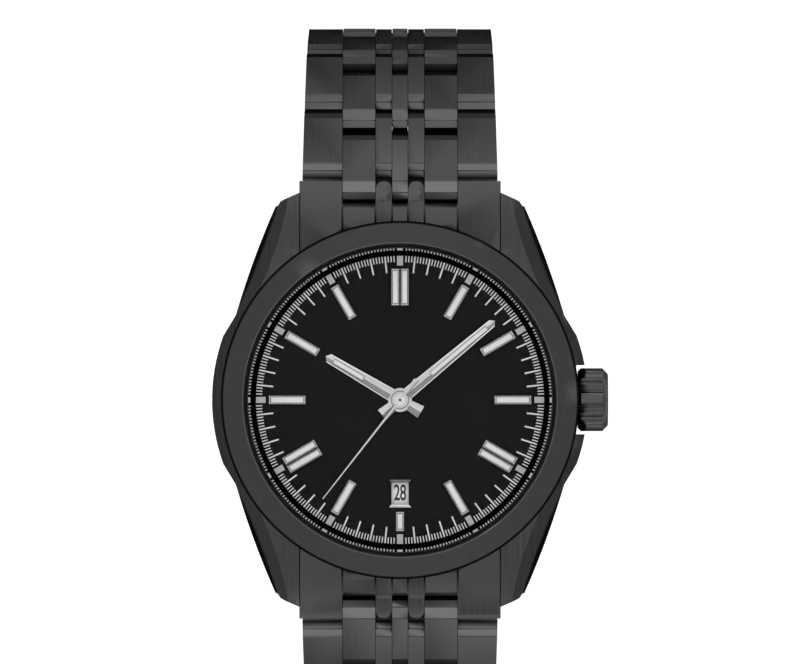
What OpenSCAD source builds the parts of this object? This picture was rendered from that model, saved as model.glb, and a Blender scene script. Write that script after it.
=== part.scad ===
// Self-winding wristwatch on a seven-column link bracelet.
// Millimetres. The dial faces +Z, twelve o'clock is +Y and the crown is at +X.
// The origin is the centre of the case back's outer face. The bracelet is closed into its loop.

/* [Case] */
// Diameter of the round part of the case
case_d = 41; // [40:0.5:42]
// Distance between the lugs
lug_gap = 22; // [21:0.5:22]
// Distance from the centre to the lug tips
lug_reach = 22.6; // [22.2:0.1:23]
// Height of the top of the case above the case back
case_top = 8.3; // [8.2:0.1:8.6]
// Outside diameter of the bezel
bezel_d = 39; // [38:0.5:39.5]
// Diameter of the opening in the bezel
bezel_open_d = 33.3; // [33:0.1:33.6]

/* [Crown] */
// Diameter of the crown
crown_d = 6.9; // [6:0.05:7]
// Number of flutes round the crown
crown_flutes = 8; // [8:1:12]
// How far the crown pulls out to set the hands
crown_pull = 1.6; // [1:0.1:1.8]

/* [Dial] */
// Diameter of the dial seen inside the flange ring
dial_open_d = 31.5; // [31:0.1:31.8]
// Length of an hour marker
marker_len = 4; // [3.5:0.1:4.2]
// Width of a single hour marker
marker_w = 1.05; // [0.9:0.05:1.2]
// Direction of the hour hand, clockwise from twelve
hour_angle = 300.4; // [0:0.1:360]
// Direction of the minute hand, clockwise from twelve
minute_angle = 50.2; // [0:0.1:360]
// Direction of the seconds hand, clockwise from twelve
second_angle = 218; // [0:0.1:360]

/* [Bracelet] */
// Distance between the pins of one link
pitch = 8.2; // [8.1:0.05:8.3]
// Thickness of a link
link_t = 2.8; // [2.6:0.1:2.9]
// Width of the bracelet at the case
strap_w0 = 21.4; // [21:0.1:21.6]
// Width of the bracelet at the clasp
strap_w1 = 18; // [17.5:0.1:19]

/* [Clasp] */
// Width of the clasp cover
clasp_w = 18; // [17.5:0.1:18.5]
// Length of each folding blade between its pins
blade_len = 29.1; // [28.5:0.1:29.3]

/* [Hidden] */
$fn = 96;
eps = 0.01;
big = 100;

// Radii of the head
case_r = case_d / 2;
bezel_r = bezel_d / 2;
bezel_in_r = bezel_open_d / 2;
drum_r = bezel_r - 0.2;
glass_r = bezel_in_r - 0.15;
flange_r = dial_open_d / 2;
seat_r = bezel_in_r - 0.05;
move_r = 14.2;
holder_r = 15.4;

// Heights of the head
back_t = 1;
seat_z = 6.55;
dial_t = 0.4;
dial_z = seat_z + dial_t;
bezel_z = 10.6;
glass_z = 9.2;
glass_t = 1.7;
plate_z = 5;
plate_t = 1;
bridge_z = 2.9;
bridge_t = 0.8;
stem_z = 4.3;

// Bracelet: pin line, tilt of each link below the horizontal, and column edges from the centre line
pin0_y = 22.8;
pin0_z = 4;
TILTS_12 = [22, 38, 70, 92, 115, 140, 160];
TILTS_6 = [22, 38, 70, 92, 115, 140, 160, 175];
col_a = 0.87;
col_b = 2.68;
col_c = 6.29;
col_gap = 0.06;
reach = 1.15;
clear = 1.45;
end_h = 0.75;
nose_h = 0.45;
nose_l = 0.55;
nose_top = 1;
groove_w = 0.12;
top_bevel = 1.3;
near_bevel = 1.8;
low_bevel = 0.6;
pin_r = 0.5;
run = 0.02;
web_h = 1;
chain_len = pitch * len(TILTS_6);

// Clasp: the cover lies flat under the loop, and its blades fold into it
cover_z0 = -38.6;
cover_t = 0.75;
fold_z = -36.9;
fold_y = 19.6;
blade_t = 0.8;
knuckle_r = 0.9;
blade_pin_r = 0.45;
mid_blade_w = 8;
arm_x0 = 4.2;
arm_x1 = 6.6;
push_r = 0.8;
push_y = 4;
push_z = fold_z + 0.15;

// Spring bars between the lugs
bar_y = 20.4;
bar_z = 3.3;
bar_r = 0.75;

// Going train: tooth counts, modules and the places of the arbors
third_a = -20;
third_d = 5.6;
centre_n = 80;
third_pn = 10;
third_n = 75;
fourth_pn = 10;
fourth_n = 80;
escape_pn = 8;
barrel_n = 72;
centre_pn = 12;
centre_m = 2 * third_d / (centre_n + third_pn);
third_m = 2 * third_d / (third_n + fourth_pn);
fourth_m = 0.125;
escape_a = -80;
escape_d = fourth_m * (fourth_n + escape_pn) / 2;
barrel_m = 0.14;
barrel_a = 140;
barrel_d = barrel_m * (barrel_n + centre_pn) / 2;
balance_a = -128;
balance_d = 8.5;
balance_r = 2.9;
pallet_at = 3;
wheel_t = 0.15;
arbor_r = 0.15;

function pin_y(t, n) = n == 0 ? pin0_y : pin_y(t, n - 1) + pitch * cos(t[n - 1]);
function pin_z(t, n) = n == 0 ? pin0_z : pin_z(t, n - 1) - pitch * sin(t[n - 1]);
function strap_half(s) = (strap_w0 + (strap_w1 - strap_w0) * s / chain_len) / 2;

module ring(r_out, r_in, z0, z1)
{
    translate([0, 0, z0]) difference()
    {
        cylinder(r = r_out, h = z1 - z0);
        translate([0, 0, -1]) cylinder(r = r_in, h = z1 - z0 + 2);
    }
}

module rod_x(r, x0, x1)
{
    translate([x0, 0, 0]) rotate([0, 90, 0]) cylinder(r = r, h = x1 - x0);
}

// A prism whose outline is drawn in the YZ plane and which runs along X
module prism_x(x0, x1)
{
    translate([x0, 0, 0]) rotate([90, 0, 90]) linear_extrude(x1 - x0) children();
}

// ---- Head, outside ----

// Plan of one quarter of the case: the flank is a very flat arc that ends in a rounded corner
flank_r = 96;
module lug_plan()
{
    intersection()
    {
        translate([-74.3, -17.5]) circle(r = flank_r, $fn = 720);
        polygon([
            [lug_gap / 2, 0], [case_r, 0], [case_r, 18], [13.35, 21.2], [13.05, 21.65],
            [12.6, 21.9], [lug_gap / 2, lug_reach]
        ]);
        translate([0, 8]) square([big, big]);
    }
}

// Side view of the lugs: the top falls away along an arc and the underside rises a little
lug_top_r = 37;
lug_flat_y = 8;
module lug_side()
{
    intersection()
    {
        polygon([
            [0, back_t], [12, back_t], [lug_reach, 1.9], [lug_reach + 1, 1.9],
            [lug_reach + 1, case_top], [0, case_top]
        ]);
        union()
        {
            translate([lug_flat_y, case_top - lug_top_r]) circle(r = lug_top_r, $fn = 720);
            square([lug_flat_y, case_top]);
        }
    }
}

module lug()
{
    difference()
    {
        intersection()
        {
            linear_extrude(case_top) lug_plan();
            prism_x(0, case_r) lug_side();
        }
        // polished chamfer along the outer edge, fading out at the tip
        translate([17.45, 10.5, case_top - 1.5]) rotate([0, 0, 20.5]) rotate([-10, 0, 0])
            rotate([0, -42, 0]) translate([0, -15, 0]) cube([8, 45, 8]);
        translate([0, bar_y, bar_z]) rod_x(bar_r + 0.05, 0, 12.4);
    }
}

module mid_case()
{
    color("dimgray") difference()
    {
        union()
        {
            translate([0, 0, back_t]) cylinder(r = drum_r, h = case_top - back_t);
            intersection()
            {
                rotate_extrude() polygon([
                    [0, back_t + 0.4], [case_r - 1.2, back_t + 0.4], [case_r, 2.4],
                    [case_r, 6.6], [drum_r + 0.05, case_top], [0, case_top]
                ]);
                linear_extrude(big) for (mx = [0, 1], my = [0, 1]) mirror([mx, 0, 0]) mirror([0, my, 0])
                    polygon([[-1, -1], [case_r + 1, -1], [case_r + 1, 5], [19.2, 7.1], [17.8, 9.4], [-1, 9.4]]);
            }
            for (mx = [0, 1], my = [0, 1]) mirror([mx, 0, 0]) mirror([0, my, 0]) lug();
        }
        translate([0, 0, -1]) cylinder(r = holder_r + 0.05, h = seat_z + 1);
        translate([0, 0, seat_z]) cylinder(r = seat_r, h = big);
        // thread pocket of the case back
        translate([0, 0, -1]) cylinder(r = 16.45, h = 2.4);
        // notch beside the crown and the hole for the crown tube
        translate([19.2, -3.78, 0]) cube([big, 7.56, big]);
        translate([0, 0, stem_z]) rod_x(1.6, 10, 25);
    }
}

module bezel()
{
    color("dimgray") rotate_extrude($fn = 180) polygon([
        [bezel_in_r, case_top], [bezel_r - 0.25, case_top], [bezel_r, case_top + 0.3],
        [bezel_r, 8.95], [bezel_r - 0.15, 9.2], [bezel_in_r + 0.55, bezel_z],
        [bezel_in_r + 0.4, bezel_z], [bezel_in_r, bezel_z - 0.45]
    ]);
}

module crystal()
{
    color([0.85, 0.9, 0.95, 0.35]) rotate_extrude($fn = 180) polygon([
        [0, glass_z], [glass_r, glass_z], [glass_r, glass_z + glass_t - 0.3],
        [glass_r - 0.3, glass_z + glass_t], [0, glass_z + glass_t]
    ]);
}

// The seals of the crystal and of the case back
module case_gaskets()
{
    color("black")
    {
        ring(bezel_in_r - 0.02, glass_r + 0.02, glass_z, bezel_z - 0.55);
        ring(15.15, 14.5, back_t, back_t + 0.3);
    }
}

module flange_ring()
{
    color([0.12, 0.12, 0.13]) rotate_extrude($fn = 180) polygon([
        [flange_r, dial_z], [seat_r - 0.05, dial_z], [seat_r - 0.05, glass_z - 0.1],
        [flange_r + 0.75, glass_z - 0.1]
    ]);
}

module case_back()
{
    notch_n = 6;
    color("dimgray") difference()
    {
        rotate_extrude($fn = 180) polygon([
            [0, 0], [15.6, 0], [16.4, 0.5], [16.4, back_t + 0.35], [15.2, back_t + 0.35],
            [15.2, back_t], [0, back_t]
        ]);
        for (i = [0:notch_n - 1]) rotate([0, 0, i * 360 / notch_n + 30])
            translate([14.6, -1, -1]) cube([3, 2, 1.5]);
    }
}

module crown_tube()
{
    color("silver") translate([0, 0, stem_z]) difference()
    {
        rod_x(1.58, holder_r + 0.2, 20.6);
        rod_x(1, 10, 25);
    }
}

module lug_spring_bars()
{
    color("silver") for (s = [-1, 1]) translate([0, s * bar_y, bar_z]) rod_x(bar_r, -12.3, 12.3);
}

// ---- Dial side ----

window_y = -10.2;
window_w = 1.87;
window_h = 2.33;
marker_r0 = 10.3;
marker_t = 0.4;

module dial()
{
    color([0.07, 0.07, 0.08]) difference()
    {
        translate([0, 0, seat_z]) cylinder(r = seat_r - 0.2, h = dial_t, $fn = 180);
        translate([0, 0, seat_z - 1]) cylinder(r = 0.9, h = 3);
        translate([-window_w / 2, window_y - window_h / 2, seat_z - 1]) cube([window_w, window_h, 3]);
    }
}

// One baton with sloping edges round a shallow tray for the luminous paint
module baton(w, l)
{
    edge = 0.16;
    difference()
    {
        translate([-w / 2, 0, 0]) cube([w, l, marker_t]);
        translate([-w / 2 + edge, edge, marker_t - 0.12]) cube([w - 2 * edge, l - 2 * edge, 1]);
        for (s = [0, 1]) mirror([s, 0, 0]) translate([w / 2, -1, marker_t - 0.1]) rotate([0, -40, 0])
            cube([1, l + 2, 1]);
    }
}

module hour_markers()
{
    double_w = 0.98;
    color("silver") translate([0, 0, dial_z]) for (h = [1:12]) rotate([0, 0, -30 * h])
    {
        if (h == 6) translate([0, 12.2, 0]) baton(1, 2.1);
        else if (h % 4 == 0) for (s = [-1, 1])
            translate([s * (double_w + 0.04) / 2, marker_r0, 0]) baton(double_w, marker_len);
        else translate([0, marker_r0, 0]) baton(marker_w, marker_len);
    }
}

module date_frame()
{
    color("silver") translate([0, window_y, dial_z]) for (s = [0, 1]) mirror([0, s, 0])
        linear_extrude(0.25) polygon([
            [-1.25, window_h / 2 + 0.36], [1.25, window_h / 2 + 0.36],
            [window_w / 2, window_h / 2 + 0.02], [-window_w / 2, window_h / 2 + 0.02]
        ]);
}

hand_t = 0.26;
hour_z = 7.5;
minute_z = 7.95;
second_z = 8.42;

// A dauphine-like hand: two facets that meet in a ridge, cut to its plan, with a slot for paint
module hand_blade(w0, w1, l, tail_l, tail_w, lume0, lume1)
{
    difference()
    {
        intersection()
        {
            linear_extrude(hand_t) union()
            {
                polygon([[-w0 / 2, 1], [-w1 / 2, l - 0.4], [0, l], [w1 / 2, l - 0.4], [w0 / 2, 1]]);
                polygon([[-tail_w / 2, -tail_l], [-0.35, 1.4], [0.35, 1.4], [tail_w / 2, -tail_l]]);
                circle(r = 1);
            }
            translate([0, l + 1, 0]) rotate([90, 0, 0]) linear_extrude(l + tail_l + 2) polygon([
                [-1.5, 0], [1.5, 0], [1.5, 0.02], [0, hand_t], [-1.5, 0.02]
            ]);
        }
        translate([-w0 / 5, lume0, -1]) cube([w0 * 0.4, lume1 - lume0, 2]);
        translate([0, 0, -1]) cylinder(r = 0.51, h = 2);
    }
}

module hour_hand()
{
    color("silver")
    {
        translate([0, 0, hour_z]) rotate([0, 0, -hour_angle]) difference()
        {
            hand_blade(1.37, 1, 9.4, 2.64, 1.44, 4.6, 8.4);
            translate([0, 0, -1]) cylinder(r = 0.7, h = 2);
        }
        ring(1.3, 0.7, hour_z, hour_z + 0.2);
        ring(0.72, 0.52, 6.25, hour_z + 0.2);
    }
}

module minute_hand()
{
    color("silver")
    {
        translate([0, 0, minute_z]) rotate([0, 0, -minute_angle])
            hand_blade(1.3, 0.87, 13.45, 2.55, 1.4, 4.4, 12.3);
        ring(0.52, 0.34, 6.1, minute_z + hand_t);
        ring(1.15, 0.5, minute_z, minute_z + 0.2);
        ring(0.92, 0.5, minute_z, minute_z + hand_t);
        ring(0.72, 0.34, minute_z + hand_t, minute_z + hand_t + 0.05);
    }
}

module seconds_hand()
{
    color("silver") translate([0, 0, second_z]) rotate([0, 0, -second_angle]) difference()
    {
        union()
        {
            linear_extrude(0.13) polygon([
                [-0.12, 0], [-0.05, 13.65], [0.05, 13.65], [0.12, 0], [0.22, -2.86], [-0.22, -2.86]
            ]);
            cylinder(r = 0.6, h = 0.2);
        }
        translate([0, 0, -1]) cylinder(r = arbor_r, h = 3);
    }
}

module date_disc()
{
    color("white") ring(11.8, 8.7, 6.25, 6.5);
}

// ---- Movement ----

function at(a, d) = [d * cos(a), d * sin(a), 0];
third_at = at(third_a, third_d);
escape_at = at(escape_a, escape_d);
barrel_at = at(barrel_a, barrel_d);
balance_at = at(balance_a, balance_d);
pallet_dir = atan2(balance_at[1] - escape_at[1], balance_at[0] - escape_at[0]);
pallet_pos = escape_at + at(pallet_dir, pallet_at);
PIVOTS = [third_at, escape_at, barrel_at, pallet_pos];
pillar_at = [at(75, 12.6), at(175, 12.8), at(-45, 12.6)];
foot_at = at(-150, 12.6);
screw_r = 0.6;
jewel_r = 0.5;

// A flat toothed wheel: each tooth has four corners
module gear(n, m, t)
{
    turn = [-0.3, -0.13, 0.13, 0.3];
    step = [-1.1, 0.75, 0.75, -1.1];
    linear_extrude(t) polygon([
        for (i = [0:n - 1]) for (k = [0:3])
            let (a = 360 / n * (i + turn[k]), r = m * (n / 2 + step[k])) [r * cos(a), r * sin(a)]
    ]);
}

// A wheel with its rim, four crossings and boss
module crossed_gear(n, m, t)
{
    rim = m * n / 2 - 0.7;
    difference()
    {
        gear(n, m, t);
        difference()
        {
            translate([0, 0, -1]) cylinder(r = rim, h = 3);
            cylinder(r = rim * 0.28, h = 1);
            for (a = [0, 90]) rotate([0, 0, a]) translate([-rim, -0.2, 0]) cube([2 * rim, 0.4, 1]);
        }
    }
}

module movement_holder()
{
    color("silver") difference()
    {
        ring(holder_r, move_r + 0.03, bridge_z, seat_z);
        translate([0, 0, stem_z]) rod_x(0.7, 10, 20);
        // room for the guide when the crown is pulled
        translate([10, -1.4, stem_z - 0.8]) cube([4.85, 2.8, 1.5]);
    }
}

module main_plate()
{
    color("silver") difference()
    {
        union()
        {
            translate([0, 0, plate_z]) cylinder(r = move_r, h = plate_t);
            for (p = concat(pillar_at, [foot_at])) translate([p[0], p[1], bridge_z + bridge_t])
                cylinder(r = 1.2, h = 1.4);
        }
        translate([0, 0, plate_z - 1]) cylinder(r = 0.5, h = 3);
        for (p = concat(PIVOTS, [balance_at])) translate([p[0], p[1], plate_z - 1])
            cylinder(r = jewel_r, h = 3);
        for (p = concat(pillar_at, [foot_at])) translate([p[0], p[1], bridge_z])
            cylinder(r = 0.4, h = 2);
    }
}

// Plan of the balance cock, grown by g all round
module cock_plan(g)
{
    run_a = atan2(foot_at[1] - balance_at[1], foot_at[0] - balance_at[0]);
    translate([balance_at[0], balance_at[1]])
    {
        circle(r = 1.4 + g);
        rotate([0, 0, run_a]) translate([0, -1.1 - g]) square([norm(foot_at - balance_at), 2.2 + 2 * g]);
    }
    translate([foot_at[0], foot_at[1]]) circle(r = 1.5 + g);
}

module train_bridge()
{
    color("silver") difference()
    {
        translate([0, 0, bridge_z]) cylinder(r = move_r - 0.2, h = bridge_t);
        translate([balance_at[0], balance_at[1], 0]) cylinder(r = 2.4, h = 9);
        linear_extrude(9) cock_plan(0.15);
        for (p = PIVOTS) translate([p[0], p[1], 0]) cylinder(r = jewel_r, h = 9);
        cylinder(r = jewel_r, h = 9);
        for (p = pillar_at) translate([p[0], p[1], 0]) cylinder(r = 0.4, h = 9);
    }
}

module balance_cock()
{
    color("silver") difference()
    {
        translate([0, 0, bridge_z]) linear_extrude(bridge_t) cock_plan(0);
        translate([balance_at[0], balance_at[1], 0]) cylinder(r = jewel_r, h = 9);
        translate([foot_at[0], foot_at[1], 0]) cylinder(r = 0.4, h = 9);
    }
}

module jewels()
{
    color("crimson") for (p = concat(PIVOTS, [balance_at])) translate([p[0], p[1], 0])
    {
        ring(jewel_r - 0.01, arbor_r + run, plate_z, plate_z + 0.4);
        ring(jewel_r - 0.01, arbor_r + run, bridge_z + 0.3, bridge_z + bridge_t);
    }
    color("crimson") ring(jewel_r - 0.01, arbor_r + run, bridge_z + 0.3, bridge_z + bridge_t);
}

module movement_screws()
{
    color("steelblue") for (p = concat(pillar_at, [foot_at])) translate([p[0], p[1], 0])
        difference()
        {
            union()
            {
                translate([0, 0, bridge_z - 0.25]) cylinder(r = screw_r, h = 0.25);
                translate([0, 0, bridge_z - 0.1]) cylinder(r = 0.38, h = 1.9);
            }
            translate([-1, -0.08, bridge_z - 0.35]) cube([2, 0.16, 0.2]);
        }
}

module rotor_bearing()
{
    color("silver")
    {
        translate([0, 0, 2.45]) cylinder(r = 1.5, h = bridge_z - 2.45);
        translate([0, 0, 1.5]) cylinder(r = 0.8, h = 1);
    }
}

module rotor()
{
    color("silver") difference()
    {
        union()
        {
            translate([0, 0, 1.9]) cylinder(r = 2.2, h = 0.45);
            difference()
            {
                translate([0, 0, 1.9]) cylinder(r = 13.4, h = 0.3);
                translate([-20, 0, 0]) cube([40, 20, 9]);
            }
            difference()
            {
                ring(13.4, 11, 1.35, 1.91);
                translate([-20, 0, 0]) cube([40, 20, 9]);
            }
        }
        cylinder(r = 0.83, h = 9);
    }
}

module arbor(z0, z1, at_point)
{
    translate([at_point[0], at_point[1], z0]) cylinder(r = arbor_r, h = z1 - z0);
}

module fourth_wheel()
{
    color("gold")
    {
        arbor(bridge_z + 0.4, second_z + 0.14, [0, 0]);
        translate([0, 0, 3.78]) rotate([0, 0, escape_a]) crossed_gear(fourth_n, fourth_m, wheel_t);
        translate([0, 0, 4]) rotate([0, 0, third_a + 180 / fourth_pn]) gear(fourth_pn, third_m, 0.2);
    }
}

module centre_wheel()
{
    color("gold") difference()
    {
        union()
        {
            translate([0, 0, 4.28]) cylinder(r = 0.32, h = 3.97);
            translate([0, 0, 4.3]) rotate([0, 0, barrel_a + 180 / centre_pn])
                gear(centre_pn, barrel_m, 0.2);
            translate([0, 0, 4.62]) rotate([0, 0, third_a]) crossed_gear(centre_n, centre_m, wheel_t);
        }
        translate([0, 0, 4]) cylinder(r = arbor_r + run, h = 5);
    }
}

module third_wheel()
{
    color("gold") union()
    {
        arbor(bridge_z + 0.4, plate_z + 0.4, third_at);
        translate([third_at[0], third_at[1], 4.02]) rotate([0, 0, third_a + 180])
            crossed_gear(third_n, third_m, wheel_t);
        translate([third_at[0], third_at[1], 4.6]) rotate([0, 0, third_a + 180 + 180 / third_pn])
            gear(third_pn, centre_m, 0.2);
    }
}

module escape_wheel()
{
    color("silver") union()
    {
        arbor(bridge_z + 0.4, plate_z + 0.4, escape_at);
        translate([escape_at[0], escape_at[1], 3.76]) rotate([0, 0, escape_a + 180 + 180 / escape_pn])
            gear(escape_pn, fourth_m, 0.2);
        translate([escape_at[0], escape_at[1], 4.25]) crossed_gear(20, 0.2, wheel_t);
    }
}

module barrel()
{
    color("gold") union()
    {
        arbor(bridge_z + 0.4, plate_z + 0.4, barrel_at);
        translate([barrel_at[0], barrel_at[1], 4.3]) rotate([0, 0, barrel_a + 180])
            gear(barrel_n, barrel_m, 0.2);
        translate([barrel_at[0], barrel_at[1], 4.05]) cylinder(r = 4.7, h = 0.5);
    }
}

module pallet_fork()
{
    color("silver") union()
    {
        arbor(bridge_z + 0.4, plate_z + 0.4, pallet_pos);
        translate([pallet_pos[0], pallet_pos[1], 4.25]) rotate([0, 0, pallet_dir]) linear_extrude(0.15)
        {
            circle(r = 0.35);
            translate([0, -0.12]) square([2.2, 0.24]);
            polygon([[-0.3, -1.3], [0, -1.3], [0.25, 0], [0, 1.3], [-0.3, 1.3], [-0.05, 0]]);
        }
    }
}

module balance_wheel()
{
    color("gold") union()
    {
        arbor(bridge_z + 0.4, plate_z + 0.4, balance_at);
        translate([balance_at[0], balance_at[1], 3.9])
        {
            ring(balance_r, balance_r - 0.35, 0, 0.2);
            translate([-balance_r + 0.2, -0.2, 0]) cube([2 * balance_r - 0.4, 0.4, 0.15]);
            cylinder(r = 0.6, h = 0.2);
        }
    }
}

// A flat spiral of square wire round the balance staff
spiral_turns = 4;
spiral_step = 6;
module hairspring()
{
    count = spiral_turns * 360 / spiral_step;
    color("steelblue") translate([balance_at[0], balance_at[1], 4.6]) linear_extrude(0.1) polygon(concat(
        [for (i = [0:count]) let (r = 0.35 + 0.3 * i * spiral_step / 360) at2(i * spiral_step, r)],
        [for (i = [count:-1:0]) let (r = 0.41 + 0.3 * i * spiral_step / 360) at2(i * spiral_step, r)]
    ));
}
function at2(a, r) = [r * cos(a), r * sin(a)];

// ---- Winding and setting ----

stem_r = 0.45;
crown_x0 = 19.4;
crown_x1 = 22.7;
module winding_stem()
{
    color("silver") translate([0, 0, stem_z]) difference()
    {
        rod_x(stem_r, 12, 22);
        // groove that the guide turns in
        difference()
        {
            rod_x(1, 12.6, 13);
            rod_x(0.3, 12, 14);
        }
    }
}

module crown()
{
    crown_r = crown_d / 2;
    color("dimgray") translate([0, 0, stem_z]) difference()
    {
        rotate([0, 90, 0]) rotate_extrude() polygon([
            [0, crown_x0], [crown_r - 0.35, crown_x0], [crown_r, crown_x0 + 0.35],
            [crown_r, crown_x1 - 0.6], [crown_r - 0.6, crown_x1], [0, crown_x1]
        ]);
        for (i = [0:crown_flutes - 1]) rotate([360 / crown_flutes * i + 20, 0, 0])
            translate([0, crown_r + 0.68, 0]) rod_x(1.1, crown_x0 - 1, crown_x1 - 0.5);
        rod_x(1.66, crown_x0 - 1, 21);
        rod_x(stem_r + eps, 20, 22.01);
    }
}

module crown_gasket()
{
    color("black") translate([0, 0, stem_z]) difference()
    {
        rod_x(1.65, 19.9, 20.3);
        rod_x(1.6, 19, 21);
    }
}

module stem_guide()
{
    color("silver") translate([0, 0, stem_z]) difference()
    {
        translate([12.65, -1.2, -0.6]) cube([0.3, 2.4, 1.1]);
        rod_x(0.3 + run, 12, 14);
    }
}

module setting_lever()
{
    color("silver") translate([11.6, 4.2, 4.84]) difference()
    {
        linear_extrude(0.12) union()
        {
            circle(r = 0.9);
            translate([-0.45, -3]) square([0.9, 3]);
        }
        translate([0, 0, -1]) cylinder(r = 0.4, h = 3);
    }
}

// ---- Bracelet ----

// Side view of one bar of a link from y0 to y1: each end falls away in two facets, and a fine
// groove marks the edges of the facets at the end nearer the case
module bar_side(y0, y1, bevel0)
{
    h = link_t / 2;
    difference()
    {
        polygon([
            [y0, -end_h], [y0, nose_h], [y0 + nose_l, nose_top], [y0 + bevel0, h],
            [y1 - top_bevel, h], [y1 - nose_l, nose_top], [y1, nose_h], [y1, -end_h],
            [y1 - low_bevel, -h], [y0 + low_bevel, -h]
        ]);
        for (p = [[y0 + nose_l, nose_top], [y0 + bevel0, h]])
            translate(p) rotate(45) square(groove_w, center = true);
    }
}

// The three columns that reach towards the case: the middle one and two broad ones
module near_bars(y0, y1)
{
    prism_x(-col_a + col_gap / 2, col_a - col_gap / 2) bar_side(y0, y1, near_bevel);
    for (s = [0, 1]) mirror([s, 0, 0])
        prism_x(col_b + col_gap / 2, col_c - col_gap / 2) bar_side(y0, y1, near_bevel);
}

// The four columns that reach towards the clasp: two slim ones and the tapering outer ones
module far_bars(y0, y1, w0, w1)
{
    for (s = [0, 1]) mirror([s, 0, 0])
    {
        prism_x(col_a + col_gap / 2, col_b - col_gap / 2) bar_side(y0, y1, top_bevel);
        intersection()
        {
            prism_x(col_c + col_gap / 2, strap_w0) bar_side(y0, y1, top_bevel);
            translate([0, 0, -5]) linear_extrude(10)
                polygon([[0, y0], [w0, y0], [w1, y1], [0, y1]]);
        }
    }
}

// Puts a link with its near pin on the pin line, side 0 towards twelve and side 1 towards six
module on_chain(side, i)
{
    t = side == 0 ? TILTS_12 : TILTS_6;
    rotate([0, 0, 180 * side]) translate([0, pin_y(t, i), pin_z(t, i)])
        rotate([i < len(t) ? -t[i] : -180, 0, 0]) children();
}

module link(side, i)
{
    w0 = strap_half(pitch * i + clear);
    w1 = strap_half(pitch * (i + 1) + reach);
    color("dimgray") on_chain(side, i)
    {
        difference()
        {
            union()
            {
                near_bars(-reach, pitch - clear);
                far_bars(clear, pitch + reach, w0, w1);
                translate([-w1 + 1, clear + 0.6, -web_h])
                    cube([2 * w1 - 2, pitch - 2 * clear - 1.2, 2 * web_h]);
            }
            rod_x(pin_r + run, -big, big);
            translate([0, pitch, 0]) rod_x(pin_r + run, -big, big);
        }
        rod_x(pin_r, -w0 + 0.4, w0 - 0.4);
    }
}

// What is cut off the top of the sunk columns of an end link
top_in = 6.4;
sink = 0.3;
pad_y = 21.2;
slim_x = (col_a + col_b) / 2;
slim_r = (col_b - col_a - col_gap) / 2;
module sunk_top()
{
    translate([0, -sink]) polygon([
        [15, top_in + 0.56], [19.6, top_in], [pin0_y - clear - 0.35, pin0_z + 1.85],
        [pin0_y - clear, pin0_z + 1.4], [pin0_y, pin0_z + 1.4], [pin0_y, big], [15, big]
    ]);
}

// End link: fills the gap between the lugs and hugs the round case
module end_link(side)
{
    tongue_y = pin0_y + 1.1;
    slot = 0.2;
    color("dimgray") rotate([0, 0, 180 * side]) difference()
    {
        intersection()
        {
            prism_x(-lug_gap / 2 + 0.005, lug_gap / 2 - 0.005) polygon([
                [15.5, 2.2], [21, 1.95], [pin0_y - 0.4, 1.95], [pin0_y - 0.3, pin0_z - 1.5],
                [tongue_y, pin0_z - end_h],
                [tongue_y, pin0_z + end_h], [pin0_y + 0.7, pin0_z + 1.15], [pin0_y, pin0_z + 1.4],
                [19.6, top_in], [15.5, top_in + 0.5]
            ]);
            union()
            {
                translate([-big, 0, 0]) cube([2 * big, pin0_y - clear, big]);
                translate([-col_c, 0, 0]) cube([2 * col_c, pin0_y, 2.38]);
                for (s = [0, 1]) mirror([s, 0, 0])
                {
                    translate([slim_x - slim_r, 0, 0]) cube([2 * slim_r, tongue_y - slim_r, big]);
                    translate([slim_x, tongue_y - slim_r, 0]) cylinder(r = slim_r, h = big);
                    translate([col_c + col_gap / 2, 0, 0])
                        cube([lug_gap / 2 - col_c, big, big]);
                }
            }
        }
        cylinder(r = drum_r + 0.03, h = big, $fn = 180);
        for (x = [-col_c, -col_b, -col_a, col_a, col_b, col_c])
            translate([x - slot / 2, 0, pin0_z + 1.1]) cube([slot, big, big]);
        prism_x(-col_a, col_a) sunk_top();
        for (s = [0, 1]) mirror([s, 0, 0])
        {
            prism_x(col_b, col_c) sunk_top();
            // the slim tongues step down beyond a round-ended pad
            translate([slim_x, pad_y, pin0_z + 0.9]) difference()
            {
                translate([-slim_r - 0.1, 0, 0]) cube([2 * slim_r + 0.2, 5, 5]);
                translate([0, 0, -1]) cylinder(r = slim_r - 0.05, h = 10);
            }
        }
        translate([0, bar_y, bar_z]) rod_x(bar_r + run, -big, big);
        translate([0, pin0_y, pin0_z]) rod_x(pin_r + run, -big, big);
        // groove along each lug
        for (s = [0, 1]) mirror([s, 0, 0]) translate([lug_gap / 2 - 0.12, 0, 4.9]) cube([1, big, big]);
    }
}

module end_link_12()
{
    end_link(0);
}

module end_link_6()
{
    end_link(1);
}

// ---- Clasp ----

clasp_half = clasp_w / 2;
cover_pin_y = -pin_y(TILTS_6, len(TILTS_6));
cover_pin_z = pin_z(TILTS_6, len(TILTS_6));
cover_y0 = cover_pin_y + 0.6;
cover_y1 = fold_y + 0.7;
wall_t = 1.1;
fold_back_y = fold_y - blade_len;

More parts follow.
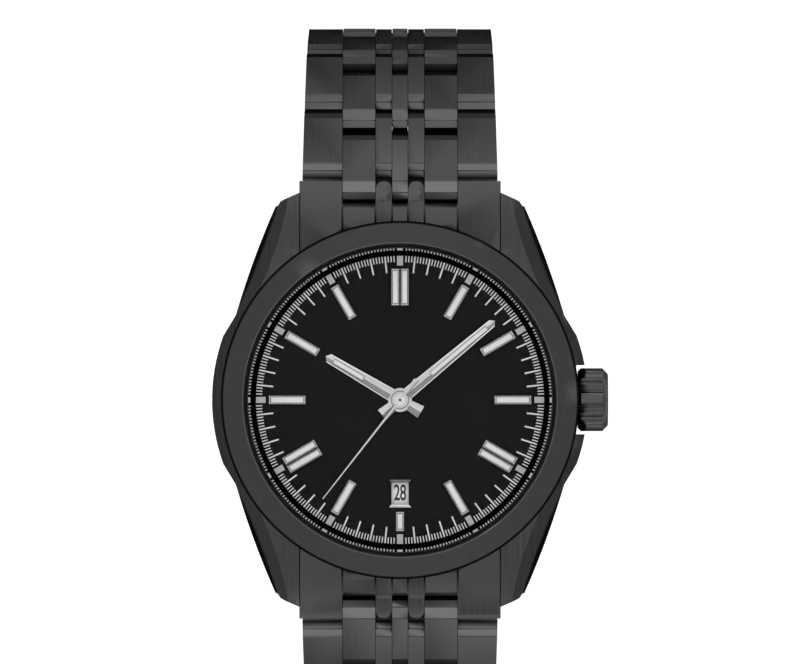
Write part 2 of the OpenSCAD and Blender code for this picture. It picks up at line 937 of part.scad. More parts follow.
module clasp_cover()
{
    color("dimgray") difference()
    {
        union()
        {
            translate([-clasp_half, cover_y0, cover_z0])
                cube([clasp_w, cover_y1 - cover_y0, cover_t]);
            for (s = [0, 1]) mirror([s, 0, 0])
                prism_x(clasp_half - wall_t, clasp_half) polygon([
                    [cover_y0 + 2, cover_z0], [cover_y1, cover_z0], [cover_y1, fold_z + 0.8],
                    [cover_y1 - 0.8, fold_z + 1.2], [cover_y0 + 3, fold_z + 1.2],
                    [cover_y0 + 2, fold_z + 0.4]
                ]);
            // ears that carry the last link's pin
            for (s = [0, 1]) mirror([s, 0, 0]) prism_x(col_b + col_gap, col_c - col_gap)
            {
                translate([cover_pin_y, cover_pin_z]) circle(r = 1.2);
                polygon([
                    [cover_pin_y - 1.13, cover_pin_z - 0.4], [cover_pin_y - 0.3, cover_z0],
                    [cover_pin_y + 1.4, cover_z0], [cover_pin_y + 1.4, cover_z0 + 1],
                    [cover_pin_y + 1.13, cover_pin_z - 0.4]
                ]);
            }
        }
        translate([0, cover_pin_y, cover_pin_z]) rod_x(pin_r + run, -big, big);
        translate([0, fold_y, fold_z]) rod_x(blade_pin_r + run, -clasp_half + 0.4, clasp_half - 0.4);
        for (s = [0, 1]) mirror([s, 0, 0])
            translate([0, push_y, push_z]) rod_x(push_r + 0.05, 5, 12);
    }
}

module clasp_hinge_pin()
{
    color("silver")
    {
        translate([0, fold_y, fold_z]) rod_x(blade_pin_r, -clasp_half + 0.45, clasp_half - 0.45);
        translate([0, cover_pin_y, cover_pin_z]) rod_x(pin_r, -8.4, 8.4);
    }
}

module clasp_middle_blade()
{
    half = mid_blade_w / 2;
    color("gray") difference()
    {
        union()
        {
            translate([-half, fold_back_y, fold_z - blade_t / 2]) cube([mid_blade_w, blade_len, blade_t]);
            for (y = [fold_back_y, fold_y]) translate([0, y, fold_z]) rod_x(knuckle_r, -half, half);
        }
        for (y = [fold_back_y, fold_y]) translate([0, y, fold_z]) rod_x(blade_pin_r + run, -big, big);
        translate([-1.6, fold_back_y + 6, fold_z - 1]) cube([3.2, blade_len - 12, 2]);
    }
}

module clasp_fold_pin()
{
    color("silver") translate([0, fold_back_y, fold_z]) rod_x(blade_pin_r, -arm_x1 + 0.2, arm_x1 - 0.2);
}

module clasp_end_blade()
{
    color("gray") difference()
    {
        union()
        {
            for (s = [0, 1]) mirror([s, 0, 0])
            {
                translate([arm_x0, fold_back_y, fold_z - blade_t / 2])
                    cube([arm_x1 - arm_x0, blade_len - 0.6, blade_t]);
                translate([0, fold_back_y, fold_z]) rod_x(knuckle_r, arm_x0, arm_x1);
                translate([arm_x0, 8, fold_z]) cube([arm_x1 - arm_x0, 4, 1]);
            }
            // bridge that joins the two arms above the middle blade
            translate([-arm_x1, 8, fold_z + 0.55]) cube([2 * arm_x1, 4, 0.45]);
        }
        translate([0, fold_back_y, fold_z]) rod_x(blade_pin_r + run, -big, big);
    }
}

module clasp_pusher()
{
    wall_x = clasp_half - wall_t;
    translate([0, push_y, push_z])
    {
        rod_x(push_r, wall_x - 0.2, clasp_half + 0.7);
        rod_x(push_r + 0.2, wall_x - 0.45, wall_x - 0.1);
    }
}

module clasp_pusher_right()
{
    color("gray") clasp_pusher();
}

module clasp_pusher_left()
{
    color("gray") mirror([1, 0, 0]) clasp_pusher();
}

mid_case();
bezel();
crystal();
case_gaskets();
flange_ring();
dial();
hour_markers();
date_frame();
movement_holder();
main_plate();
train_bridge();
balance_cock();
jewels();
movement_screws();
case_back();
crown_tube();
lug_spring_bars();
end_link_12();
end_link_6();
rotor_bearing();
hour_hand();
minute_hand();
seconds_hand();
fourth_wheel();
centre_wheel();
third_wheel();
escape_wheel();
barrel();
pallet_fork();
balance_wheel();
hairspring();
rotor();
date_disc();
winding_stem();
crown();
crown_gasket();
stem_guide();
setting_lever();
clasp_cover();
clasp_hinge_pin();
clasp_middle_blade();
clasp_fold_pin();
clasp_end_blade();
clasp_pusher_right();
clasp_pusher_left();
for (i = [1:len(TILTS_12)])
    link(0, i - 1);
for (i = [1:len(TILTS_6)])
    link(1, i - 1);
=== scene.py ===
"""Looks of a black steel wristwatch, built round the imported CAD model. Metres; +Z is the dial's axis."""
import math

import bmesh
import bpy
from mathutils import Matrix, Vector


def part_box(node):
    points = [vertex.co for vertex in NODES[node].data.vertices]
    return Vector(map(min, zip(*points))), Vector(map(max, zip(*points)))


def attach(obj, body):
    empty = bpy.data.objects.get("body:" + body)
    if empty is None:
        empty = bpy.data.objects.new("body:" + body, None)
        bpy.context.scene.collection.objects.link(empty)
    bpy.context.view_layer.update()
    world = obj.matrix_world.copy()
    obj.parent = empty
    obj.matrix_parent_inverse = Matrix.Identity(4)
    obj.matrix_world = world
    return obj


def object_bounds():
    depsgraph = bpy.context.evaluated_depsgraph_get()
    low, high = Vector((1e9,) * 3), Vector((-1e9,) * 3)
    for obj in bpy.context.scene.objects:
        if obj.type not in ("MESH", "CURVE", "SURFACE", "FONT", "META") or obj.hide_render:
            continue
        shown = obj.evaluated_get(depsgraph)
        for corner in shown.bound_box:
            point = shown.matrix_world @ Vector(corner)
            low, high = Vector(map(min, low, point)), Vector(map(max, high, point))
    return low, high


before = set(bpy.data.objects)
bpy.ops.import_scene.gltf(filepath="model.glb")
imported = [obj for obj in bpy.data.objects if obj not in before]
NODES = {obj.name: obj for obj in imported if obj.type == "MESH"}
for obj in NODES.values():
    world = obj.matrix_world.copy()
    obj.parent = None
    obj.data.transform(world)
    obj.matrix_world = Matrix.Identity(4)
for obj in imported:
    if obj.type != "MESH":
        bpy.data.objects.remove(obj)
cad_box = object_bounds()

MM = 0.001


# ---------- Camera, floor and light ----------

FRAME_WIDTH = 87.2 * MM       # what the picture spans at the dial
CAMERA_DISTANCE = 1.15
CAMERA_AIM = Vector((0, 7.4 * MM, 7 * MM))
SENSOR = 36.0
FLOOR_HALF = 3.0
FLOOR_GAP = 0.2 * MM


def make_camera():
    data = bpy.data.cameras.new("camera")
    data.sensor_width = SENSOR
    data.lens = SENSOR * CAMERA_DISTANCE / FRAME_WIDTH
    data.clip_start = 0.05
    data.clip_end = 20
    camera = bpy.data.objects.new("camera", data)
    camera.location = CAMERA_AIM + Vector((0, 0, CAMERA_DISTANCE))
    bpy.context.scene.collection.objects.link(camera)
    bpy.context.scene.camera = camera


def make_light(name, power, location, width, depth):
    """A rectangular lamp that points at the origin."""
    data = bpy.data.lights.new(name, "AREA")
    data.energy = power
    data.shape = "RECTANGLE"
    data.size = width
    data.size_y = depth
    light = bpy.data.objects.new(name, data)
    light.location = location
    light.rotation_euler = (-light.location).to_track_quat("-Z", "Y").to_euler()
    bpy.context.scene.collection.objects.link(light)


def make_stage():
    mesh = bpy.data.meshes.new("floor")
    bm = bmesh.new()
    bmesh.ops.create_grid(bm, x_segments=8, y_segments=8, size=FLOOR_HALF)
    bm.to_mesh(mesh)
    bm.free()
    floor = bpy.data.objects.new("floor", mesh)
    floor.location = (0, 0, cad_box[0][2] - FLOOR_GAP)
    bpy.context.scene.collection.objects.link(floor)
    material = bpy.data.materials.new("floor_pale")
    material.use_nodes = True
    shader = material.node_tree.nodes["Principled BSDF"]
    shader.inputs["Base Color"].default_value = (0.93, 0.93, 0.93, 1)
    shader.inputs["Roughness"].default_value = 0.9
    shader.inputs["Emission Color"].default_value = (1, 1, 1, 1)
    shader.inputs["Emission Strength"].default_value = 0.62
    mesh.materials.append(material)

    world = bpy.data.worlds.new("studio")
    world.use_nodes = True
    world.node_tree.nodes["Background"].inputs[0].default_value = (1, 1, 1, 1)
    world.node_tree.nodes["Background"].inputs[1].default_value = 0.72
    bpy.context.scene.world = world
    bpy.context.scene.view_settings.view_transform = "Standard"

    make_light("overhead", 3.0, (0, 0.1, 1.7), 1.5, 1.5)
    make_light("twelve_side", 1.6, (0, 1.4, 1.1), 1.4, 0.5)
    make_light("six_side", 1.2, (0, -1.4, 1.1), 1.4, 0.5)


# ---------- Materials ----------

BLACK_METAL = 0.1             # a metal darker than this is the black steel
RELIEF = 0.02 * MM            # depth of brushing and mottle
STEM_Z = 4.3 * MM             # height of the crown's axis
HOUR_ANGLE = 300.4            # clockwise from twelve, in degrees
MINUTE_ANGLE = 50.2


class Nodes:
    """A short way to add shader nodes to one material."""

    def __init__(self, name):
        self.material = bpy.data.materials.new(name)
        self.material.use_nodes = True
        self.tree = self.material.node_tree
        self.shader = self.tree.nodes["Principled BSDF"]

    def add(self, kind, **settings):
        node = self.tree.nodes.new(kind)
        for key, value in settings.items():
            setattr(node, key, value)
        return node

    def link(self, source, target):
        self.tree.links.new(source, target)

    def math(self, operation, a, b=None):
        node = self.add("ShaderNodeMath", operation=operation)
        for socket, value in zip(node.inputs, (a, b)):
            if value is None:
                continue
            if isinstance(value, (int, float)):
                socket.default_value = value
            else:
                self.link(value, socket)
        return node.outputs[0]

    def dot(self, vector, constant):
        node = self.add("ShaderNodeVectorMath", operation="DOT_PRODUCT")
        self.link(vector, node.inputs[0])
        node.inputs[1].default_value = constant
        return node.outputs["Value"]

    def step(self, source, low, high, out0, out1):
        """Goes smoothly from out0 to out1 as the source goes from low to high."""
        node = self.add("ShaderNodeMapRange", interpolation_type="SMOOTHSTEP")
        self.link(source, node.inputs["Value"])
        for key, value in (("From Min", low), ("From Max", high), ("To Min", out0), ("To Max", out1)):
            node.inputs[key].default_value = value
        return node.outputs[0]

    def place(self, kind="Object"):
        return self.add("ShaderNodeTexCoord").outputs[kind]

    def ramp(self, source, low, high, positions=(0.0, 1.0)):
        node = self.add("ShaderNodeValToRGB")
        for element, position, colour in zip(node.color_ramp.elements, positions, (low, high)):
            element.position = position
            element.color = (*colour, 1)
        self.link(source, node.inputs[0])
        return node.outputs[0]


def split(n, kind="Object"):
    """The three parts of a place or a direction."""
    node = n.add("ShaderNodeSeparateXYZ")
    n.link(n.place(kind), node.inputs[0])
    return node.outputs


def length(n, a, b):
    return n.math("SQRT", n.math("ADD", n.math("MULTIPLY", a, a), n.math("MULTIPLY", b, b)))


def grain_vector(n, pattern, fine, coarse):
    """Coordinates that change fast across the brushing and slowly along it."""
    if pattern == "along":
        mapping = n.add("ShaderNodeMapping")
        mapping.inputs["Scale"].default_value = (fine, coarse, coarse)
        n.link(n.place(), mapping.inputs["Vector"])
        return mapping.outputs[0]
    x, y, z = split(n)
    radius = length(n, x, y)
    angle = n.math("ARCTAN2", y, x)
    join = n.add("ShaderNodeCombineXYZ")
    if pattern == "round":
        n.link(n.math("MULTIPLY", radius, fine), join.inputs[0])
        n.link(n.math("MULTIPLY", angle, coarse * 0.02), join.inputs[1])
        n.link(n.math("MULTIPLY", z, fine), join.inputs[2])
    else:
        n.link(n.math("MULTIPLY", radius, coarse), join.inputs[0])
        n.link(n.math("MULTIPLY", angle, fine * 0.01), join.inputs[1])
        n.link(n.math("MULTIPLY", z, coarse), join.inputs[2])
    return join.outputs[0]


def add_relief(n, noise, strength):
    height = n.add("ShaderNodeBump")
    height.inputs["Strength"].default_value = strength
    height.inputs["Distance"].default_value = RELIEF
    n.link(noise.outputs["Fac"], height.inputs["Height"])
    n.link(height.outputs[0], n.shader.inputs["Normal"])


def metal(name, colour, roughness, pattern="along", fine=9000, coarse=160, bump=0.12, spread=0.10,
          tint=0.25, wear_and_highlight=0.6, shade=None):
    """Brushed or polished metal: streaks in colour, roughness and height, and lighter rubbed edges that are
    partly wear and partly a painted highlight.

    Black steel reflects less at a grazing angle than bare metal. The painted-light function scales the
    colour by painted light and shade.
    """
    n = Nodes(name)
    noise = n.add("ShaderNodeTexNoise")
    noise.inputs["Scale"].default_value = 1.0
    noise.inputs["Detail"].default_value = 4.0
    n.link(grain_vector(n, pattern, fine, coarse), noise.inputs["Vector"])
    cloud = n.add("ShaderNodeTexNoise")
    cloud.inputs["Scale"].default_value = 260.0
    cloud.inputs["Detail"].default_value = 3.0
    n.link(n.place(), cloud.inputs["Vector"])

    dark = [c * (1 - tint) for c in colour]
    light = [c * (1 + tint) for c in colour]
    streaks = n.ramp(noise.outputs["Fac"], dark, light, (0.3, 0.7))
    # Lighter colour at sharp edges: partly rubbed wear, partly a painted highlight along the edges.
    edge = n.add("ShaderNodeNewGeometry").outputs["Pointiness"]
    rubbed_and_highlit = n.ramp(edge, (0, 0, 0), (1, 1, 1), (0.53, 0.62))
    mix = n.add("ShaderNodeMix", data_type="RGBA")
    n.link(n.math("MULTIPLY", rubbed_and_highlit, wear_and_highlight), mix.inputs["Factor"])
    n.link(streaks, mix.inputs["A"])
    mix.inputs["B"].default_value = (*[min(1, c * 1.9 + 0.01) for c in colour], 1)
    # Painted light and shade: the colour is scaled by a mask of painted highlights and painted shade.
    if shade:
        scale = n.add("ShaderNodeVectorMath", operation="SCALE")
        n.link(mix.outputs["Result"], scale.inputs[0])
        n.link(shade(n), scale.inputs["Scale"])
        n.link(scale.outputs[0], n.shader.inputs["Base Color"])
    else:
        n.link(mix.outputs["Result"], n.shader.inputs["Base Color"])

    rough = n.math("ADD", n.math("MULTIPLY", noise.outputs["Fac"], spread),
                   n.math("MULTIPLY", cloud.outputs["Fac"], spread * 0.6))
    n.link(n.math("ADD", rough, roughness - 0.8 * spread), n.shader.inputs["Roughness"])
    add_relief(n, noise, bump)
    n.shader.inputs["Metallic"].default_value = 1.0
    grazing = 0.35 if max(colour) < BLACK_METAL else 1.0
    n.shader.inputs["Specular Tint"].default_value = (grazing, grazing, grazing, 1)
    return n.material


def paint(name, colour, roughness, speck=0.15, scale=6000, bump=0.05, sheen=0.0):
    """Printed ink, enamel, luminous paint or rubber: a fine mottle over one colour."""
    n = Nodes(name)
    noise = n.add("ShaderNodeTexNoise")
    noise.inputs["Scale"].default_value = scale
    noise.inputs["Detail"].default_value = 3.0
    n.link(n.place(), noise.inputs["Vector"])
    low = [c * (1 - speck) for c in colour]
    high = [min(1, c * (1 + speck)) for c in colour]
    n.link(n.ramp(noise.outputs["Fac"], low, high, (0.3, 0.7)), n.shader.inputs["Base Color"])
    n.link(n.math("ADD", n.math("MULTIPLY", noise.outputs["Fac"], 0.12), roughness - 0.06),
           n.shader.inputs["Roughness"])
    add_relief(n, noise, bump)
    n.shader.inputs["Sheen Weight"].default_value = sheen
    return n.material


def glass(name, colour, roughness, ior, transmission=1.0):
    """A clear stone with slightly uneven polish."""
    n = Nodes(name)
    n.shader.inputs["Base Color"].default_value = (*colour, 1)
    n.shader.inputs["Transmission Weight"].default_value = transmission
    n.shader.inputs["IOR"].default_value = ior
    noise = n.add("ShaderNodeTexNoise")
    noise.inputs["Scale"].default_value = 900.0
    n.link(n.place(), noise.inputs["Vector"])
    n.link(n.math("ADD", n.math("MULTIPLY", noise.outputs["Fac"], 0.01), roughness),
           n.shader.inputs["Roughness"])
    return n.material


PITCH = 8.2                   # millimetres from pin to pin
FIRST_PIN = (22.8, 4.0)
# Painted light: how bright each link's flats are painted, for the way its tilt meets the lamps
LINK_PAINTED_LIGHT = (0.92, 0.72, 0.36, 0.44, 0.80, 0.80, 0.80, 0.80)
LINK_TILTS = (22, 38, 70, 92, 115, 140, 160, 175)


def link_place(side, index):
    """Near pin of a link, in millimetres, and the direction from it towards the case."""
    y, z = FIRST_PIN
    for tilt in LINK_TILTS[:index]:
        y += PITCH * math.cos(math.radians(tilt))
        z -= PITCH * math.sin(math.radians(tilt))
    tilt = math.radians(LINK_TILTS[index])
    return Vector((0, side * y, z)), Vector((0, -side * math.cos(tilt), math.sin(tilt)))


def link_shade(side, index):
    """Painted light on a link: its brushed flats are painted lighter towards the case at a level set by the
    link's tilt, the facets at that end get a painted highlight and those facing away painted shade.
    """
    pin, toward = link_place(side, index)
    light_level = LINK_PAINTED_LIGHT[index]

    def shade(n):
        along = n.math("ADD", n.dot(n.place(), toward), -pin.dot(toward) * MM)
        flat = n.step(along, -PITCH * MM, 1.0 * MM, 0.60 * light_level, 1.15 * light_level)
        lean = n.dot(n.place("Normal"), toward)
        nose_highlight = n.step(lean, 0.12, 0.26, 1.0, 1.40)
        far_shade = n.step(lean, -0.22, -0.12, 0.40, 1.0)
        return n.math("MULTIPLY", flat, n.math("MULTIPLY", nose_highlight, far_shade))
    return shade


def case_shade(n):
    """Painted shade: the long chamfers and the upright sides of the lugs are painted darker than the
    brushed top, by which way they face.
    """
    side = n.math("ABSOLUTE", split(n, "Normal")[0])
    chamfer_shade = n.step(side, 0.40, 0.55, 1.0, 0.50)
    return n.math("MULTIPLY", chamfer_shade, n.step(side, 0.88, 0.98, 1.0, 0.45))


def end_link_shade(n):
    """End links get painted shade that darkens them towards the bezel."""
    reach = n.math("ABSOLUTE", split(n)[1])
    return n.step(reach, 18.0 * MM, 23.0 * MM, 0.70, 0.95)


def bezel_shade(n):
    """A painted highlight line near the inner edge, painted shade on the inner chamfer and a painted shadow
    along the outer edge where it meets the case bound the brushed slope.
    """
    x, y = split(n)[:2]
    radius = length(n, x, y)
    highlight_line = n.math("SUBTRACT", n.step(radius, 17.02 * MM, 17.06 * MM, 0.0, 0.7),
                  n.step(radius, 17.12 * MM, 17.16 * MM, 0.0, 0.7))
    inner_shade = n.step(radius, 17.02 * MM, 17.10 * MM, 0.72, 1.0)
    outer_shadow = n.step(radius, 19.18 * MM, 19.30 * MM, 1.0, 0.12)
    return n.math("MULTIPLY", n.math("ADD", inner_shade, highlight_line), outer_shadow)


def facet_shade(angle, lit_side, half0, half1, length):
    """One facet of a hand is painted lit and the other painted in shade, with a painted highlight along its
    border and a painted dark ring at the hub.

    The angle is the hand's direction round the dial; its half width goes from half0 to half1.
    """
    turned = math.radians(angle)
    ahead = Vector((math.sin(turned), math.cos(turned), 0))
    across = Vector((math.cos(turned), -math.sin(turned), 0)) * lit_side

    def shade(n):
        facet_light = n.step(n.dot(n.place("Normal"), across), -0.25, 0.05, 0.30, 1.0)
        place = n.place()
        off_axis = n.math("ABSOLUTE", n.dot(place, across))
        slope = (half1 - half0) / (length - 1.4)
        edge = n.math("ADD", n.math("MULTIPLY", n.dot(place, ahead), slope), (half0 - slope) * MM)
        inside = n.math("SUBTRACT", off_axis, edge)
        border_highlight = n.step(inside, -0.10 * MM, -0.07 * MM, 0.0, 1.0)
        highlit = n.math("MAXIMUM", facet_light, n.math("MULTIPLY", border_highlight, 1.45))
        beyond_hub = n.step(n.dot(place, ahead), 1.0 * MM, 1.3 * MM, 0.0, 1.0)
        mixed = n.math("MULTIPLY", n.math("SUBTRACT", highlit, facet_light), beyond_hub)
        radius = n.add("ShaderNodeVectorMath", operation="LENGTH")
        flat = n.add("ShaderNodeVectorMath", operation="MULTIPLY")
        n.link(place, flat.inputs[0])
        flat.inputs[1].default_value = (1, 1, 0)
        n.link(flat.outputs[0], radius.inputs[0])
        off_ring = n.math("ABSOLUTE", n.math("SUBTRACT", radius.outputs["Value"], 0.95 * MM))
        hub_ring_shade = n.step(off_ring, 0.03 * MM, 0.06 * MM, 0.30, 1.0)
        return n.math("MULTIPLY", hub_ring_shade, n.math("ADD", facet_light, mixed))
    return shade


def date_frame_shade(n):
    """Painted light and shade: the bar above the date window is painted dark and the one below it bright.
    """
    return n.step(split(n)[1], -10.4 * MM, -10.0 * MM, 1.25, 0.30)


def crown_shade(n):
    """The walls of the crown's flutes get painted shade, by which way they face, and are darker than the
    ribs and the floors between them; the end face is kept lighter.
    """
    place, normal = split(n), split(n, "Normal")
    y = place[1]
    z = n.math("SUBTRACT", place[2], STEM_Z)
    radius = length(n, y, z)
    lean = n.math("ADD", n.math("MULTIPLY", normal[1], y), n.math("MULTIPLY", normal[2], z))
    facing = n.math("DIVIDE", lean, n.math("MAXIMUM", radius, 0.1 * MM))
    wall_shade = n.step(facing, 0.66, 0.86, 0.25, 1.0)
    lit_end_face = n.step(normal[0], 0.2, 0.5, 0.0, 1.0)
    return n.math("MAXIMUM", wall_shade, n.math("MULTIPLY", lit_end_face, 0.8))


def marker_shade(n):
    """Painted shade: the sloping borders of the markers and the floors of their trays are painted darker
    than their tops.
    """
    tray_shade = n.step(split(n)[2], 7.26 * MM, 7.31 * MM, 0.25, 1.0)
    return n.math("MULTIPLY", tray_shade, n.step(split(n, "Normal")[2], 0.75, 0.95, 0.55, 1.0))


def make_materials():
    steel = (0.070, 0.070, 0.072)
    silver = (0.47, 0.475, 0.48)
    shiny = dict(bump=0.05, spread=0.06, tint=0.05, wear_and_highlight=0.2)
    return {
        "satin": metal("black_steel_satin", steel, 0.36, bump=0.16),
        "case": metal("black_steel_case", (0.064, 0.064, 0.066), 0.34, bump=0.14, tint=0.18,
                      shade=case_shade),
        "end_link": metal("black_steel_end_link", (0.060, 0.060, 0.062), 0.34, bump=0.16, tint=0.18,
                          shade=end_link_shade),
        "bezel": metal("black_steel_bezel", (0.062, 0.062, 0.064), 0.40, "round", 7000, 900, bump=0.06,
                       tint=0.10, shade=bezel_shade),
        "gloss": metal("black_steel_polished", (0.070, 0.070, 0.072), 0.16, bump=0.03, spread=0.05,
                       tint=0.10),
        "crown": metal("black_steel_crown", (0.080, 0.080, 0.082), 0.20, bump=0.03, spread=0.05, tint=0.10,
                       shade=crown_shade),
        "flange": metal("black_gloss_flange", (0.010, 0.010, 0.0105), 0.55, "round", 3000, 900, bump=0.02,
                        spread=0.04),
        "dial": metal("dial_black_sunray", (0.0125, 0.0125, 0.013), 0.42, "rays", 60000, 200, bump=0.05,
                      spread=0.08, tint=0.18, wear_and_highlight=0.0),
        "marker": metal("silver_marker", (0.36, 0.36, 0.37), 0.20, shade=marker_shade, **shiny),
        "date_frame": metal("silver_date_frame", (0.42, 0.42, 0.43), 0.20, shade=date_frame_shade, **shiny),
        "silver": metal("silver_trim", silver, 0.20, **shiny),
        "hour": metal("silver_hour_hand", silver, 0.20,
                      shade=facet_shade(HOUR_ANGLE, 1, 0.685, 0.5, 9.4), **shiny),
        "minute": metal("silver_minute_hand", silver, 0.20,
                        shade=facet_shade(MINUTE_ANGLE, -1, 0.65, 0.435, 13.45), **shiny),
        "nickel": metal("movement_nickel", (0.60, 0.59, 0.57), 0.30, "round", 5000, 500, tint=0.08),
        "brass": metal("movement_brass", (0.78, 0.60, 0.28), 0.25, "round", 6000, 600, tint=0.08),
        "blued": metal("blued_steel", (0.05, 0.09, 0.32), 0.22, bump=0.04),
        "steel": metal("plain_steel", (0.45, 0.45, 0.45), 0.25, bump=0.06),
        "rubber": paint("rubber_black", (0.02, 0.02, 0.02), 0.75, sheen=0.1),
        "ink": paint("dial_ink_white", (0.95, 0.95, 0.95), 0.5, speck=0.04),
        "ink_grey": paint("dial_ink_grey", (0.66, 0.66, 0.66), 0.5, speck=0.05),
        "lume": paint("luminous_paint", (0.94, 0.95, 0.94), 0.6, speck=0.05, scale=9000, bump=0.12),
        "date": paint("date_white", (0.97, 0.97, 0.96), 0.5, speck=0.03),
        "date_ink": paint("date_ink", (0.02, 0.02, 0.02), 0.5),
        "crystal": glass("sapphire", (1, 1, 1), 0.0, 1.02),
        "ruby": glass("ruby", (0.65, 0.02, 0.10), 0.05, 1.76, 0.6),
    }


NODE_MATERIALS = {
    "case": ["mid_case"],
    "end_link": ["end_link_12", "end_link_6"],
    "satin": ["case_back", "clasp_cover", "clasp_middle_blade", "clasp_end_blade"],
    "bezel": ["bezel"],
    "crown": ["crown"],
    "gloss": ["clasp_pusher_right", "clasp_pusher_left"],
    "flange": ["flange_ring"],
    "dial": ["dial"],
    "marker": ["hour_markers"],
    "date_frame": ["date_frame"],
    "hour": ["hour_hand"],
    "minute": ["minute_hand"],
    "silver": ["seconds_hand"],
    "nickel": ["movement_holder", "main_plate", "train_bridge", "balance_cock", "rotor_bearing", "rotor"],
    "brass": ["fourth_wheel", "centre_wheel", "third_wheel", "barrel", "balance_wheel"],
    "blued": ["movement_screws", "hairspring"],
    "steel": ["escape_wheel", "pallet_fork", "winding_stem", "stem_guide", "setting_lever", "crown_tube",
              "lug_spring_bars", "clasp_hinge_pin", "clasp_fold_pin"],
    "rubber": ["case_gaskets", "crown_gasket"],
    "date": ["date_disc"],
    "crystal": ["crystal"],
    "ruby": ["jewels"],
}
BEVELS = {
    "mid_case": 0.10, "end_link_12": 0.09, "end_link_6": 0.09, "bezel": 0.06, "case_back": 0.08,
    "clasp_cover": 0.18, "clasp_middle_blade": 0.10, "clasp_end_blade": 0.10, "crown": 0.05,
    "clasp_pusher_right": 0.12, "clasp_pusher_left": 0.12, "hour_markers": 0.02, "date_frame": 0.03,
}
LINK_BEVEL = 0.10


def dress_cad(materials):
    """Gives every CAD node its material, and rounds the edges of the ones that show."""
    chosen = {node: kind for kind, names in NODE_MATERIALS.items() for node in names}
    for name, obj in NODES.items():
        kind = chosen.get(name, "link")
        obj.data.materials.clear()
        if kind == "link":
            side, number = name.split("_")[1:]
            # Each link gets its own copy of the black steel with painted light and shade for its place in
            # the chain
            link_light = link_shade(1 if side == "12" else -1, int(number) - 1)
            materials[name] = metal("black_steel_" + name, (0.072, 0.072, 0.074), 0.34, bump=0.18,
                                    spread=0.12, tint=0.16, shade=link_light)
        obj.data.materials.append(materials[name if kind == "link" else kind])
        width = BEVELS.get(name, LINK_BEVEL if kind == "link" else 0)
        if not width:
            continue
        weld = obj.modifiers.new("weld", "WELD")
        weld.merge_threshold = 1e-6
        bevel = obj.modifiers.new("edges", "BEVEL")
        bevel.width = width * MM
        bevel.segments = 2
        bevel.limit_method = "ANGLE"
        bevel.angle_limit = math.radians(14)
        bevel.use_clamp_overlap = True
        obj.modifiers.new("normals", "WEIGHTED_NORMAL")


# ---------- Pieces made here ----------

# Millimetres
INK = 0.012                   # thickness of print
TRACK_R = 15.7                # outer end of the minute track
MARKER_R0, MARKER_R1 = 10.3, 14.3
LUME_EDGE = 0.23              # from the side of a marker to its fill
DATE_R = 10.2


def piece(name, bm, material, body):
    """One object from the mesh that was built, riding on a body."""
    mesh = bpy.data.meshes.new(name)
    bm.to_mesh(mesh)
    bm.free()
    mesh.materials.append(material)
    obj = bpy.data.objects.new(name, mesh)
    bpy.context.scene.collection.objects.link(obj)
    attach(obj, body)


def add_box(bm, low, high, matrix):
    """A box from low to high, in millimetres, with its upper edges eased, placed by matrix."""
    ease = 0.15 * min(high[0] - low[0], high[1] - low[1], 2 * (high[2] - low[2]))
    rings = []
    for inset, z in ((0, low[2]), (0, high[2] - ease), (ease, high[2])):
        corners = [(low[0] + inset, low[1] + inset), (high[0] - inset, low[1] + inset),
                   (high[0] - inset, high[1] - inset), (low[0] + inset, high[1] - inset)]
        rings.append([bm.verts.new(matrix @ Vector((x * MM, y * MM, z * MM))) for x, y in corners])
    bm.faces.new(list(reversed(rings[0])))
    bm.faces.new(rings[-1])
    for lower, upper in zip(rings, rings[1:]):
        for i in range(4):
            j = (i + 1) % 4
            bm.faces.new([lower[i], lower[j], upper[j], upper[i]])


def turn(clockwise):
    """Turns what points at twelve to an angle clockwise round the dial."""
    return Matrix.Rotation(-math.radians(clockwise), 4, "Z")


def make_dial_print(materials):
    """The minute track, its fifth parts and a square at every five minutes."""
    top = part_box("dial")[1][2] / MM
    marks, squares = bmesh.new(), bmesh.new()
    for minute in range(60):
        angle = 6 * minute
        if minute % 5:
            add_box(marks, (-0.085, 13.9, top), (0.085, TRACK_R, top + INK), turn(angle))
        else:
            add_box(squares, (-0.33, 14.65, top), (0.33, TRACK_R, top + INK), turn(angle))
        for part in range(1, 5):
            skip = minute % 5 == 0 and part == 1 or minute % 5 == 4 and part == 4
            if not skip:
                add_box(marks, (-0.06, 15.03, top), (0.06, TRACK_R, top + INK), turn(angle + 1.2 * part))
    piece("minute_track", marks, materials["ink"], "case")
    piece("five_minute_squares", squares, materials["ink_grey"], "case")


def make_flange_marks(materials):
    """Narrow strokes round the sloping flange, with a broad one at each hour."""
    low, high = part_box("flange_ring")
    z0, z1 = low[2] / MM, high[2] / MM
    r0, r1 = 15.75, 16.5
    slope = math.atan2(z1 - z0, r1 - r0)
    reach = math.hypot(r1 - r0, z1 - z0)
    marks = bmesh.new()
    lift = Matrix.Translation(Vector((0, r0, z0)) * MM) @ Matrix.Rotation(slope, 4, "X")
    for i in range(300):
        if i % 25 in (1, 24):
            continue
        half = 0.30 if i % 25 == 0 else 0.075
        add_box(marks, (-half, 0.68 * reach, 0), (half, 0.995 * reach, INK), turn(1.2 * i) @ lift)
    piece("flange_marks", marks, materials["ink"], "case")


def make_marker_lume(materials):
    """The luminous fills of the hour markers, two side by side at twelve, four and eight."""
    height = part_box("hour_markers")[1][2] / MM
    lume = bmesh.new()
    for hour in range(1, 13):
        if hour == 6:
            spans = [(-0.5, 0.5, 12.2)]
        elif hour % 4 == 0:
            spans = [(-1.0, -0.02, MARKER_R0), (0.02, 1.0, MARKER_R0)]
        else:
            spans = [(-0.525, 0.525, MARKER_R0)]
        for x0, x1, y0 in spans:
            low = (x0 + LUME_EDGE, y0 + LUME_EDGE, height - 0.13)
            high = (x1 - LUME_EDGE, MARKER_R1 - LUME_EDGE, height - 0.02)
            add_box(lume, low, high, turn(30 * hour))
    piece("marker_lume", lume, materials["lume"], "case")


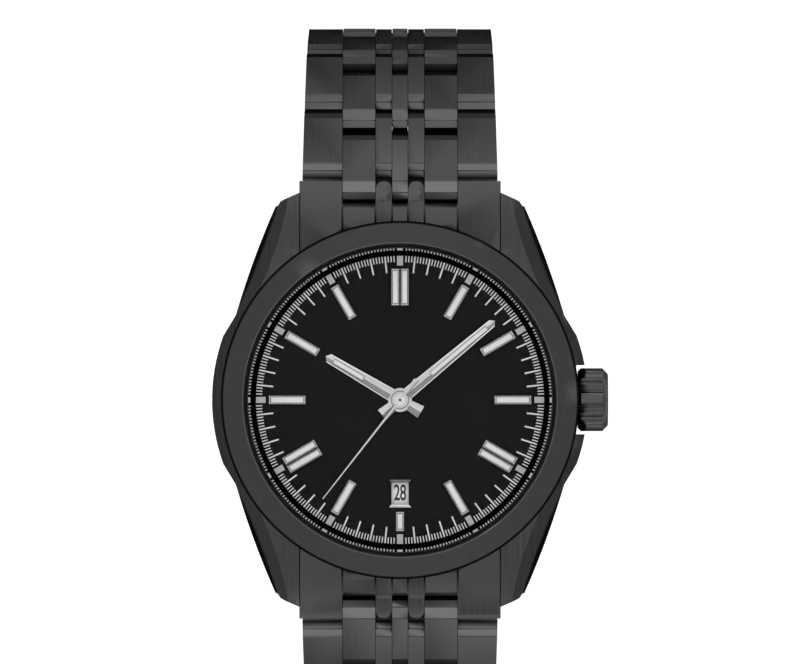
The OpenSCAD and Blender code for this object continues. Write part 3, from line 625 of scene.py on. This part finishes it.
def make_hand_lume(materials, name, angle, z, width, y0, y1):
    """The fill of the slot that runs along a hand from y0 to y1."""
    lume = bmesh.new()
    add_box(lume, (-0.165 * width, y0 + 0.03, z + 0.03), (0.165 * width, y1 - 0.03, z + 0.215), turn(angle))
    piece(name + "_lume", lume, materials["lume"], name.split("_")[0])


def make_hub_dot(materials):
    """A black disc on the end of the seconds arbor in the middle of its hub: a painted shadow for the hole
    there.
    """
    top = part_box("fourth_wheel")[1][2] / MM
    dot = bmesh.new()
    radius = 0.14 * MM
    lift = Matrix.Translation((0, 0, (top + INK / 2) * MM))
    bmesh.ops.create_cone(dot, cap_ends=True, segments=32, radius1=radius,
                          radius2=radius * 0.9, depth=INK * MM, matrix=lift)
    piece("seconds_hub_painted_shadow", dot, materials["date_ink"], "seconds")


def make_date_numbers(materials):
    """The numbers 1 to 31 round the date disc, with the 28 in the window."""
    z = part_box("date_disc")[1][2]
    for day in range(1, 32):
        curve = bpy.data.curves.new(f"date_{day}", "FONT")
        curve.body = str(day)
        curve.size = 2.15 * MM
        curve.offset = 0.028 * MM
        curve.align_x = "CENTER"
        curve.align_y = "CENTER"
        curve.extrude = 0.006 * MM
        curve.space_character = 0.95
        obj = bpy.data.objects.new(f"date_number_{day}", curve)
        spot = Matrix.Rotation(math.radians(360 / 31 * (day - 28)), 4, "Z")
        spot = spot @ Matrix.Translation((0, -DATE_R * MM, z))
        obj.matrix_world = spot @ Matrix.Diagonal((0.66, 1.14, 1, 1))
        bpy.context.scene.collection.objects.link(obj)
        bpy.context.view_layer.update()
        mesh = bpy.data.meshes.new_from_object(obj)
        mesh.transform(obj.matrix_world)
        bpy.data.objects.remove(obj)
        mesh.materials.clear()
        mesh.materials.append(materials["date_ink"])
        number = bpy.data.objects.new(f"date_number_{day}", mesh)
        bpy.context.scene.collection.objects.link(number)
        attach(number, "date")


make_camera()
make_stage()
looks = make_materials()
dress_cad(looks)
make_dial_print(looks)
make_flange_marks(looks)
make_marker_lume(looks)
make_hand_lume(looks, "hour_hand", HOUR_ANGLE, 7.5, 1.37, 4.6, 8.4)
make_hand_lume(looks, "minute_hand", MINUTE_ANGLE, 7.95, 1.3, 4.4, 12.3)
make_hub_dot(looks)
make_date_numbers(looks)
